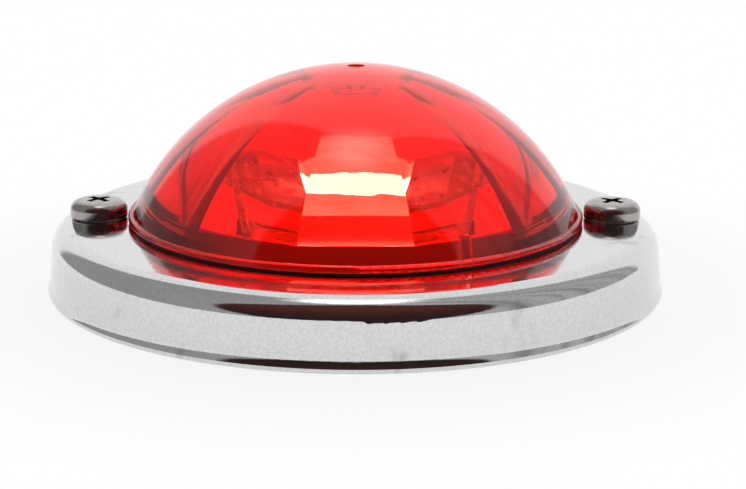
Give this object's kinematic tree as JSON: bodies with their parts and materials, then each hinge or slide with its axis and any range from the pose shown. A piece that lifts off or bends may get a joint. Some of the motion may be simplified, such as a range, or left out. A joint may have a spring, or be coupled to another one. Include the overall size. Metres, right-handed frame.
{
  "type": "trailer tail light",
  "caption": "Surface-mount trailer tail light: domed red lens over a festoon bulb, chrome-plated round cover, two mounting screws through it.",
  "frame": {"origin": "centre of the face that lies against the vehicle, on the lens axis", "axes": "+Z out of the vehicle along the lens axis, X through the two mounting screws, -Y towards the viewer of the picture"},
  "size_m": [0.0888, 0.0888, 0.0382],
  "materials": {
    "red_lens": "polished transparent red acrylic",
    "black_rubber": "matte",
    "chrome": "polished chrome plate with a fine ripple",
    "base_plastic": "moulded black",
    "foam": "closed-cell foam",
    "screw_steel": "nickel-plated, slightly dark",
    "zinc_steel": "zinc-plated",
    "bright_reflector": "bright-dipped",
    "phenolic": "paper-filled board",
    "brass": "spring brass",
    "tinned_brass": "tin-plated",
    "bulb_glass": "clear",
    "cap_nickel": "nickel-plated",
    "hot_filament": "incandescent",
    "lead_wire": "bare wire"
  },
  "bodies": {
    "housing": {"lens_gasket": "black_rubber", "bezel_cover": "chrome", "base_housing": "base_plastic", "mounting_gasket": "foam", "screw_sleeve_left": "zinc_steel", "screw_sleeve_right": "zinc_steel", "reflector": "bright_reflector", "reflector_screws": "zinc_steel", "contact_board": "phenolic", "bulb_clip_left": "brass", "bulb_clip_right": "brass", "clip_rivet_left": "brass", "clip_rivet_right": "brass", "terminal_left": "tinned_brass", "terminal_right": "tinned_brass", "bulb_glass": "bulb_glass", "bulb_cap_left": "cap_nickel", "bulb_cap_right": "cap_nickel", "bulb_filament": "hot_filament", "filament_leads": "lead_wire"},
    "lens_body": {"lens": "red_lens"},
    "screw_left_body": {"screw_left": "screw_steel"},
    "screw_right_body": {"screw_right": "screw_steel"}
  },
  "joints": [
    {"name": "lens_twist", "type": "hinge", "parent": "housing", "child": "lens_body", "pos_m": [0, 0, 0.0096], "axis": [0, 0, 1], "range_deg": [0, 30]},
    {"name": "screw_left_turn", "type": "hinge", "parent": "housing", "child": "screw_left_body", "pos_m": [-0.0372, 0, 0.0096], "axis": [0, 0, 1], "continuous": true},
    {"name": "screw_right_turn", "type": "hinge", "parent": "housing", "child": "screw_right_body", "pos_m": [0.0372, 0, 0.0096], "axis": [0, 0, 1], "continuous": true}
  ]
}
